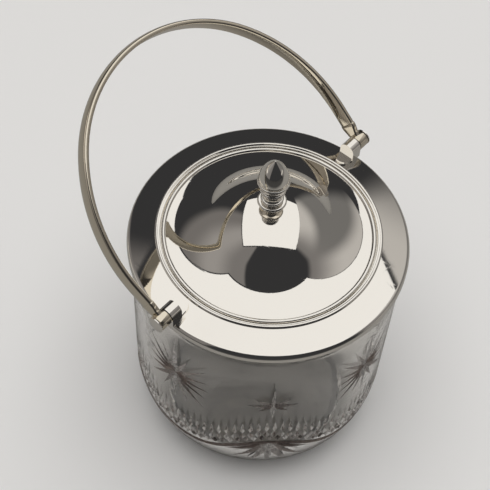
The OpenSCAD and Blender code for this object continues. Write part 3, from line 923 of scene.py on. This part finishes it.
class JARLOOK_OT_lid(Operator):
    """Spins the lid: dome, edge wire and locating ring"""

    bl_idname = "jarlook.lid"
    bl_label = "Lid"

    def execute(self, context):
        # The dome is a ball's cap, and a hollow skirt goes on from it to the wire
        slope = math.radians(CROWN_SLOPE)
        ball_z = DOME_TOP - CROWN_BALL
        crown_z = DOME_TOP - CROWN_BALL * (1 - math.cos(slope))
        chord = math.atan((crown_z - DOME_EDGE) / (WIRE_IN - CROWN_R))
        edge_slope = 2 * math.degrees(chord) - CROWN_SLOPE
        skirt = (WIRE_IN - CROWN_R) / (math.sin(slope) - math.sin(math.radians(edge_slope)))
        skirt_x = CROWN_R + skirt * math.sin(slope)
        skirt_z = crown_z + skirt * math.cos(slope)
        rod = math.degrees(math.asin(ROD_R / CROWN_BALL))
        start, end = 270 - CROWN_SLOPE, 270 - edge_slope
        outline = arc(0, ball_z, CROWN_BALL, 90 - rod, 90 - CROWN_SLOPE, 26)
        outline += arc(skirt_x, skirt_z, skirt, start, end, 22)[1:]
        outline += arc(skirt_x, skirt_z, skirt + SHEET, end, start, 16)
        outline += arc(0, ball_z, CROWN_BALL - SHEET, 90 - CROWN_SLOPE, 90 - rod, 18)[1:]
        dome = turn_profile("lid_cover", outline, LID_STEPS)
        finish_piece(dome, "lid", silver(), "silver_plate", "lid_dome")

        outline = arc(WIRE_IN + EDGE_WIRE_R, WIRE_MID, EDGE_WIRE_R, 0, 180, 14)
        outline += [(WIRE_IN, LEDGE_TOP), (WIRE_OUT, LEDGE_TOP)]
        wire = turn_profile("lid_wire", outline, WIDE_STEPS)
        finish_piece(wire, "lid", silver(), "silver_plate", "lid_edge_wire")

        ring_tall, ring_sheet = 7.0, 0.9
        low = LEDGE_TOP - ring_tall
        ring_out = MOUTH_R - LID_GAP
        ring_in = ring_out - ring_sheet
        outline = rounded([
            (ring_out, LEDGE_TOP), (ring_out, low), (ring_in, low), (ring_in, LEDGE_TOP),
        ], [0, 0.25, 0.25, 0])
        ring = turn_profile("lid_locating_ring", outline, LID_STEPS)
        finish_piece(ring, "lid", silver(), "silver_plate", "lid_bezel")
        return {"FINISHED"}


class JARLOOK_OT_finial(Operator):
    """Turns the finial: base, spool and bud"""

    bl_idname = "jarlook.finial"
    bl_label = "Finial"

    def turn(self, name, outline, node):
        piece = turn_profile(name, outline, FINIAL_STEPS)
        finish_piece(piece, "lid", silver(), "silver_plate", node)

    def execute(self, context):
        # The base's post stands on the dome, and its disc has a rounded edge
        post_r, post_tall, disc_r, disc_edge = 4.1, 3.2, 6.0, 0.9
        post_top = DOME_TOP + post_tall
        disc_top = post_top + 2 * disc_edge
        sunk = 0.02
        ball_z = DOME_TOP - CROWN_BALL - sunk
        outline = [
            (r, ball_z + math.sqrt(CROWN_BALL ** 2 - r * r)) for r in (ROD_R, 2.4, 3.2, post_r)
        ]
        outline += [(post_r, DOME_TOP + 0.6), (3.9, DOME_TOP + 1.6), (post_r, DOME_TOP + 2.7)]
        outline += [(5.2, post_top)]
        outline += arc(disc_r, post_top + disc_edge, disc_edge, -90, 90, 8)
        outline += [(ROD_R, disc_top)]
        self.turn("finial_foot", outline, "finial_base")

        # The spool has a waist between two beads
        bead, spool_tall = 0.75, 9.4
        spool_top = disc_top + spool_tall
        outline = [(ROD_R, disc_top), (4.9, disc_top), (4.9, disc_top + 0.8)]
        outline += arc(4.75, disc_top + 0.8 + bead, bead, -90, 90, 6)
        for r, up in ((4.6, 2.5), (4.3, 3.4), (4.2, 4.7), (4.4, 5.9), (4.8, 6.8)):
            outline.append((r, disc_top + up))
        outline += arc(5.35, spool_top - 0.8 - bead, bead, -90, 90, 6)
        outline += [(5.1, spool_top - 0.7), (5.1, spool_top), (ROD_R, spool_top)]
        self.turn("finial_turning", outline, "finial_spool")

        # The bud is a cup, a small bead where it is widest, and a point
        foot_r, wide, cup_tall, point_tall = 5.1, 7.3, 4.2, 14.2
        mid = spool_top + cup_tall
        cup = ((wide - foot_r) ** 2 + cup_tall ** 2) / (2 * (wide - foot_r))
        point = (wide ** 2 + point_tall ** 2) / (2 * wide)
        low = math.degrees(math.asin(cup_tall / cup))
        high = math.degrees(math.acos((point - wide) / point))
        outline = [(ROD_R, spool_top)] + arc(wide - cup, mid, cup, -low, -6, 8)
        outline += arc(wide - 0.3, mid, 0.6, -80, 80, 6)
        outline += arc(wide - point, mid, point, 4, high * 0.97, 22)
        outline += [(0.25, mid + point_tall - 0.05), (0.0, mid + point_tall)]
        outline += [(0.0, mid), (ROD_R, mid)]
        self.turn("finial_acorn", outline, "finial_bud")
        return {"FINISHED"}


class JARLOOK_OT_handle(Operator):
    """Sweeps the handle's strap and casts its two ends"""

    bl_idname = "jarlook.handle"
    bl_label = "Handle"

    def section(self, wide, thick):
        """The strap's section in mm: flat inside, domed outside, with soft edges."""
        edge, dome = 0.9, 0.9
        big = ((wide / 2) ** 2 + dome ** 2) / (2 * dome)
        y = wide / 2 - edge
        x = thick / 2 - big + math.sqrt((big - edge) ** 2 - y * y)
        turn = math.degrees(math.asin(y / (big - edge)))
        points = arc(x, -y, edge, -90, -turn, 5)
        points += arc(thick / 2 - big, 0, big, -turn * 0.8, turn * 0.8, 8)
        points += arc(x, y, edge, turn, 90, 5)
        points += arc(edge - thick / 2, y, edge, 90, 180, 5)
        points += arc(edge - thick / 2, -y, edge, 180, 270, 5)
        return points

    def loop(self, name, wide, thick, up):
        """The section as a closed loop of edges, up the right leg from the pivot."""
        h = handle()
        spots = []
        for x, y in self.section(wide, thick):
            spots.append((
                h.leg + (x * math.cos(h.tilt)) * MM + up * math.sin(h.tilt),
                y * MM,
                -x * math.sin(h.tilt) * MM + up * math.cos(h.tilt),
            ))
        return draw_loop(name, spots)

    def lay_down(self, piece):
        """Leans an upright piece as the handle rests, and moves it to the pivot line."""
        h = handle()
        pivot = Matrix.Translation((0, h.pivot_back, h.pivot_height))
        piece.data.transform(pivot @ Matrix.Rotation(-h.lean, 4, "X"))

    def arch(self, way):
        """The strap: a leg, the haunch and half the crown, mirrored to the other side."""
        h = handle()
        strap = self.loop("handle_arch", h.width / MM, h.thickness / MM, h.arm)
        extrude(way * (h.straight - h.arm))
        end = Vector((h.leg, 0, 0)) + way * h.straight
        haunch = end - Vector((math.cos(h.tilt), 0, -math.sin(h.tilt))) * h.haunch
        bpy.ops.mesh.spin(
            steps=26, angle=h.haunch_end + h.tilt, center=haunch, axis=(0, 1, 0)
        )
        crown = h.haunch + haunch.x / math.cos(h.haunch_end)
        middle = (0, 0, haunch.z + (h.haunch - crown) * math.sin(h.haunch_end))
        bpy.ops.mesh.spin(
            steps=28, angle=math.pi / 2 - h.haunch_end, center=middle, axis=(0, 1, 0)
        )
        bpy.ops.object.mode_set(mode="OBJECT")
        twin = strap.modifiers.new("other_half", "MIRROR")
        twin.merge_threshold = 2e-5
        bpy.ops.object.modifier_apply(modifier="other_half")
        bpy.ops.object.mode_set(mode="EDIT")
        bpy.ops.mesh.select_all(action="DESELECT")
        bpy.ops.mesh.select_mode(type="EDGE")
        bpy.ops.mesh.select_non_manifold()
        bpy.ops.mesh.edge_face_add()
        tidy(strap, sharp=30.0)
        self.lay_down(strap)
        finish_piece(strap, "handle", handled_silver(), "silver_plate", "handle_strap")

    def boss(self, name, side):
        """The barrel round the pin, with its two rims softened."""
        h = handle()
        clear_selection()
        bpy.ops.mesh.primitive_cylinder_add(
            vertices=56, radius=h.boss, depth=h.boss_length,
            location=(side * h.leg, 0, 0), rotation=(0, math.pi / 2, 0),
        )
        boss = bpy.context.object
        boss.name = name
        bpy.ops.object.transform_apply(location=True, rotation=True, scale=True)
        bpy.ops.object.mode_set(mode="EDIT")

        def is_rim(co):
            from_end = abs(abs(co.x - side * h.leg) - h.boss_length / 2)
            return from_end < 1e-6 and math.hypot(co.y, co.z) > h.boss * 0.99

        choose(boss, is_rim, "EDGE")
        softening = 0.35 * MM
        bpy.ops.mesh.bevel(offset=softening, segments=3, affect="EDGES")
        bpy.ops.object.mode_set(mode="OBJECT")
        return boss

    def arm(self, name, way):
        """The cast arm, which flares from the boss to a sleeve round the strap's end."""
        h = handle()
        steps, plain_steps = 8, 2
        sleeve = 0.4
        chamfer = sleeve * MM
        arm = self.loop(name, h.width / MM + sleeve, h.thickness / MM + sleeve, 0.0)
        foot = Vector((h.leg, 0, 0))
        bpy.ops.transform.resize(value=(1.0, h.arm_taper, 1.0), center_override=foot)
        width = h.arm_taper
        for step in range(1, steps + 1):
            extrude(way * (h.arm - chamfer) / steps)
            share = max(0.0, (step - plain_steps) / (steps - plain_steps))
            flare = 0.5 - 0.5 * math.cos(math.pi * share)
            wider = h.arm_taper + (1.0 - h.arm_taper) * flare
            bpy.ops.transform.resize(value=(1.0, wider / width, 1.0), center_override=foot)
            width = wider
        extrude(way * chamfer)
        narrowed = (0.94, 0.97, 1.0)
        bpy.ops.transform.resize(value=narrowed, center_override=foot + way * h.arm)
        bpy.ops.mesh.edge_face_add()
        bpy.ops.object.mode_set(mode="OBJECT")
        return arm

    def execute(self, context):
        h = handle()
        way = Vector((math.sin(h.tilt), 0, math.cos(h.tilt)))
        self.arch(way)
        for side, word in ((1, "right"), (-1, "left")):
            boss = self.boss(word + "_boss_casting", side)
            arm = self.arm(word + "_arm", way)
            if side < 0:
                arm.data.transform(Matrix.Scale(-1, 4, (1, 0, 0)))
            take_up(arm, boss)
            bpy.ops.object.join()
            bpy.ops.object.mode_set(mode="EDIT")
            tidy(boss, sharp=30.0)
            self.lay_down(boss)
            finish_piece(boss, "handle", handled_silver(), "silver_plate", word + "_handle_boss")
        return {"FINISHED"}


class JARLOOK_OT_small_parts(Operator):
    """Gives the frame's own small solids their finishes"""

    bl_idname = "jarlook.small_parts"
    bl_label = "Small parts"

    def execute(self, context):
        finishes = (
            (material("set_plaster", plaster_finish), ("cement_ring",)),
            (silver(), (
                "collar_neck_band", "left_lug", "right_lug", "left_pivot_pin", "right_pivot_pin",
            )),
            (material("turned_steel", steel_finish), (
                "finial_stud", "finial_washer", "finial_nut",
            )),
        )
        for look, names in finishes:
            for name in names:
                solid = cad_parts[name]
                solid.data.materials.clear()
                solid.data.materials.append(look)
        return {"FINISHED"}


# ---------- the stage ----------

# The room that the silver shows is dim, with a grey cloth to the left, a paler one to the
# right and a low pale strip on either side. Each runs between directions in degrees, to the
# right of straight away from the view: where it starts, is full, starts to fade, and ends
LEFT_CLOTH = (-148, -142, -55, -43)
RIGHT_CLOTH = (22, 32, 106, 116)
LEFT_STRIP = (-112, -104, -66, -58)
RIGHT_STRIP = (84, 90, 112, 120)
STRIP_HEIGHTS = (0.02, 0.05, 0.08, 0.15)
RIGHT_STRIP_STRENGTH = 0.6

# The cloths keep clear of the ceiling panel: they start this far out for each 1 up
NEAR_EDGE, LEFT_EDGE, RIGHT_EDGE = 0.37, 0.66, 0.742
EDGE_FADE = (0.0, 0.02)

# The grey cloth brightens and darkens again along its width. The pale one brightens as it
# rises, and darkens towards the view
DIM_ROOM = (0.035, 0.035, 0.037)
GREY_START, GREY_BRIGHT, GREY_END = (0.19, 0.18, 0.175), (0.31, 0.295, 0.285), (0.17, 0.16, 0.155)
GREY_BRIGHTENS, GREY_DARKENS = (-128, -96), (-90, -60)
PALE_LOW, PALE_HIGH, PALE_END = (0.17, 0.165, 0.16), (0.50, 0.48, 0.46), (0.19, 0.18, 0.175)
PALE_BRIGHTENS, PALE_DARKENS = (0.36, 0.64), (62, 108)
PALE_STRIP = (0.88, 0.83, 0.76)

# What the silver shows of the floor is darker from here on, in metres towards the view
NEAR_FLOOR = (0.2, 0.42)
NEAR_FLOOR_IN_METAL = (0.05, 0.05, 0.05)

# The fitted camera: its distance from the collar's middle, how far it looks down and rolls in
# radians, and, in the photograph's pixels, its focal length and where the collar's middle
# shows, to the right of the picture's middle and above it
COLLAR_HEIGHT = 138.5 * MM
CAMERA_DISTANCE = 576.0824 * MM
CAMERA_DOWN, CAMERA_ROLL = 0.9597, 0.0666
FOCAL_PIXELS = 1200.0
COLLAR_RIGHT_PIXELS, COLLAR_ABOVE_PIXELS = 23.629, 8.914


def soft_light(name, spot, size, power, seen):
    """A level panel of light, placed to the view's right, away from the view, and up.

    Only a panel that is seen shows in the silver and the glass.
    """
    lamp = bpy.data.lights.new(name, "AREA")
    lamp.shape = "RECTANGLE"
    lamp.size, lamp.size_y = size
    lamp.energy = power
    lamp.color = (1.0, 0.985, 0.96)
    holder = place_object(name, lamp)
    right, away, up = spot
    holder.location = (VIEW_RIGHT * right + VIEW_AWAY * away).to_3d() + Vector((0, 0, up))
    holder.rotation_euler = (0, 0, math.atan2(VIEW_RIGHT.y, VIEW_RIGHT.x))
    holder.visible_glossy = seen
    holder.visible_transmission = seen


class JARLOOK_OT_stage(Operator):
    """Sets up the floor, the room, the soft light and the camera"""

    bl_idname = "jarlook.stage"
    bl_label = "Stage"

    def floor(self):
        """A pale floor, which the silver shows darker than the camera does."""
        s = stage()
        clear_selection()
        bpy.ops.mesh.primitive_plane_add(size=6.0, location=(0, 0, 0))
        floor = bpy.context.object
        floor.name = "studio_floor"
        paper = Finish("studio_paper", Roughness=0.9)
        cloud = paper.noise(3.0, detail=2.0) * 0.2
        sheet = paper.mix(cloud, tuple(s.floor), tuple(c * 0.96 for c in s.floor))
        x, y = paper.parts(paper.place())[:2]
        near = x * -VIEW_AWAY[0] - y * VIEW_AWAY[1]
        mirrored = paper.mix(
            near.above(*NEAR_FLOOR), tuple(s.floor_in_metal), NEAR_FLOOR_IN_METAL
        )
        # A rough ray through the glass counts as glossy too, and isn't meant
        glossy = paper.node("ShaderNodeLightPath", {}, {}, "Is Glossy Ray")
        through = paper.node("ShaderNodeLightPath", {}, {}, "Is Transmission Ray")
        in_metal = glossy * (1.0 - through)
        paper.feed(paper.shader, {"Base Color": paper.mix(in_metal, sheet, mirrored)})
        floor.data.materials.append(paper.material)

    def room(self, context):
        """The world: the cloths and strips for what it lights, and a backdrop for the camera."""
        world = bpy.data.worlds.new("studio_room")
        context.scene.world = world
        world.use_nodes = True
        room = NodeTree(world.node_tree)
        x, y, up = room.parts(room.node("ShaderNodeTexCoord", {}, {}, "Generated"))
        right = x * VIEW_RIGHT[0] + y * VIEW_RIGHT[1]
        away = x * VIEW_AWAY[0] + y * VIEW_AWAY[1]
        turn = right.math("ARCTAN2", right, away) * (180.0 / math.pi)

        near = -1.0 * away - up * NEAR_EDGE
        past_left = near.larger(-1.0 * right - up * LEFT_EDGE).above(*EDGE_FADE)
        grey = room.mix(turn.above(*GREY_BRIGHTENS), GREY_START, GREY_BRIGHT)
        grey = room.mix(turn.above(*GREY_DARKENS), grey, GREY_END)
        shade = room.mix(turn.between(*LEFT_CLOTH) * past_left, DIM_ROOM, grey)

        past_right = near.larger(right - up * RIGHT_EDGE).above(*EDGE_FADE)
        pale = room.mix(up.above(*PALE_BRIGHTENS), PALE_LOW, PALE_HIGH)
        pale = room.mix(turn.above(*PALE_DARKENS), pale, PALE_END)
        shade = room.mix(turn.between(*RIGHT_CLOTH) * past_right, shade, pale)

        sides = turn.between(*LEFT_STRIP) + RIGHT_STRIP_STRENGTH * turn.between(*RIGHT_STRIP)
        shade = room.mix(up.between(*STRIP_HEIGHTS) * sides, shade, PALE_STRIP)

        seen = room.node("ShaderNodeLightPath", {}, {}, "Is Camera Ray")
        room.feed(room.nodes["Background"], {
            "Color": room.mix(seen, shade, tuple(stage().backdrop)), "Strength": stage().room,
        })

    def camera(self, context):
        """The photograph's view, from the fitted camera."""
        lens = bpy.data.cameras.new("view")
        lens.sensor_width = 36.0
        lens.sensor_fit = "HORIZONTAL"
        lens.lens = stage().lens
        view = place_object("view", lens)
        level = Vector((1, 0, 0))
        rising = Vector((0, math.sin(CAMERA_DOWN), math.cos(CAMERA_DOWN)))
        back = Vector((0, -math.cos(CAMERA_DOWN), math.sin(CAMERA_DOWN)))
        right = level * math.cos(CAMERA_ROLL) + rising * math.sin(CAMERA_ROLL)
        up = -level * math.sin(CAMERA_ROLL) + rising * math.cos(CAMERA_ROLL)
        across = COLLAR_RIGHT_PIXELS * CAMERA_DISTANCE / FOCAL_PIXELS
        above = COLLAR_ABOVE_PIXELS * CAMERA_DISTANCE / FOCAL_PIXELS
        spot = back * CAMERA_DISTANCE - right * across - up * above
        turned = Matrix.Rotation(-VIEW_TURN, 3, "Z")
        axes = Matrix((turned @ right, turned @ up, turned @ back)).transposed()
        place = axes.to_4x4()
        place.translation = turned @ spot + Vector((0, 0, COLLAR_HEIGHT))
        view.matrix_world = place
        context.scene.camera = view

    def execute(self, context):
        self.floor()
        self.room(context)
        soft_light(
            "ceiling_panel", spot=(0.15, 1.232, 3.0), size=(4.0, 4.516),
            power=stage().ceiling, seen=True,
        )
        soft_light(
            "fill_panel", spot=(0.0, -0.6, 4.0), size=(4.1, 4.1),
            power=stage().fill, seen=False,
        )
        self.camera(context)
        context.scene.view_settings.view_transform = "Standard"
        return {"FINISHED"}


# ---------- the add-on ----------


class JARLOOK_PT_panel(Panel):
    """Lists the steps that build the jar's looks"""

    bl_idname = "JARLOOK_PT_panel"
    bl_label = "Biscuit jar"
    bl_space_type = "VIEW_3D"
    bl_region_type = "UI"
    bl_category = "Biscuit jar"

    def draw(self, context):
        for step in STEPS:
            self.layout.operator(step.bl_idname)
        for group in (glass(), plate(), handle(), stage()):
            box = self.layout.box()
            for key in group.__annotations__:
                box.prop(group, key)


STEPS = (
    JARLOOK_OT_glass, JARLOOK_OT_collar, JARLOOK_OT_lid, JARLOOK_OT_finial,
    JARLOOK_OT_handle, JARLOOK_OT_small_parts, JARLOOK_OT_stage,
)
GROUPS = (
    ("jar_glass", GlassSettings), ("jar_plate", PlateSettings),
    ("jar_handle", HandleSettings), ("jar_stage", StageSettings),
)


def register():
    for name, group in GROUPS:
        bpy.utils.register_class(group)
        setattr(bpy.types.Scene, name, PointerProperty(type=group))
    for step in STEPS:
        bpy.utils.register_class(step)
    bpy.utils.register_class(JARLOOK_PT_panel)


def unregister():
    bpy.utils.unregister_class(JARLOOK_PT_panel)
    for step in reversed(STEPS):
        bpy.utils.unregister_class(step)
    for name, group in reversed(GROUPS):
        delattr(bpy.types.Scene, name)
        bpy.utils.unregister_class(group)


def main():
    register()
    bpy.ops.jarlook.glass()
    bpy.ops.jarlook.collar()
    bpy.ops.jarlook.lid()
    bpy.ops.jarlook.finial()
    bpy.ops.jarlook.handle()
    bpy.ops.jarlook.small_parts()
    bpy.ops.jarlook.stage()


if __name__ == "__main__":
    main()
